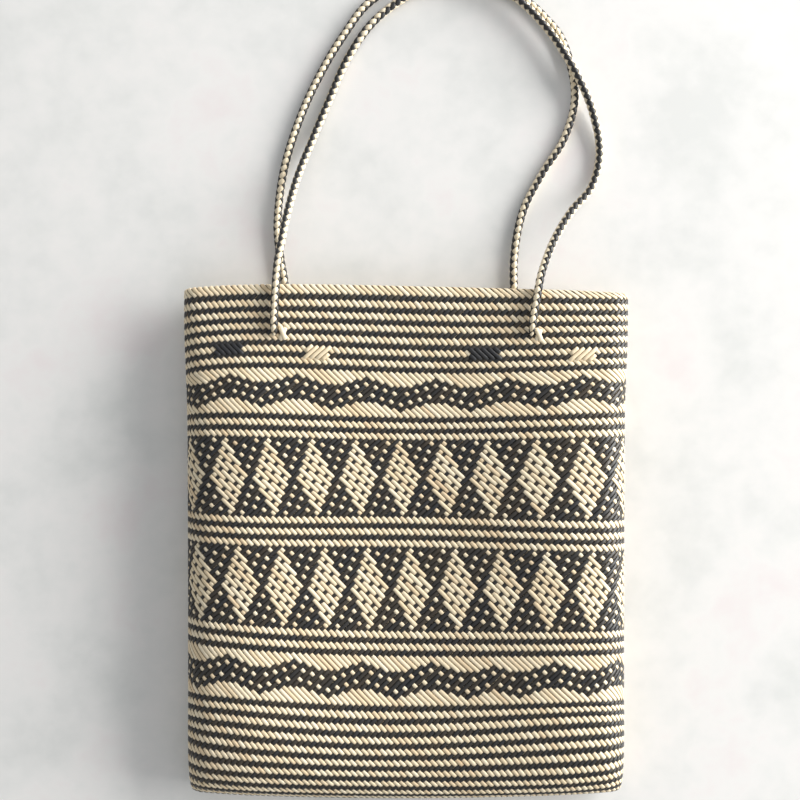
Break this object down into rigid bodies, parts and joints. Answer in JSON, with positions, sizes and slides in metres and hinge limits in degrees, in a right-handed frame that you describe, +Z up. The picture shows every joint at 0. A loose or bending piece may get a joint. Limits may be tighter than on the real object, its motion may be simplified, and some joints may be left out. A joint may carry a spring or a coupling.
{
  "type": "plaited rattan document bag",
  "caption": "Flat open-topped bag plaited from natural and black rattan in stripes, waves and diamonds, with a folded rim and braided shoulder handles, lying on its back.",
  "frame": {"origin": "middle of the bag's footprint on the floor, under the body and rim without the handles", "axes": "+X across the bag to its right-hand edge, +Y up the bag towards its mouth, +Z up from the floor, out of the front wall"},
  "size_m": [0.3304, 0.6262, 0.0428],
  "materials": {
    "plait": "bias plait of natural and black rattan strands",
    "natural_rattan": "split rattan, cream to tan, satin",
    "black_rattan": "rattan dyed black, satin, braided with natural strands in the handles"
  },
  "bodies": {
    "root": {"body": "plait", "rim": "natural_rattan", "front_handle": "black_rattan", "back_handle": "black_rattan", "front_left_tie": "natural_rattan", "front_right_tie": "natural_rattan", "back_left_tie": "natural_rattan", "back_right_tie": "natural_rattan"}
  },
  "joints": []
}
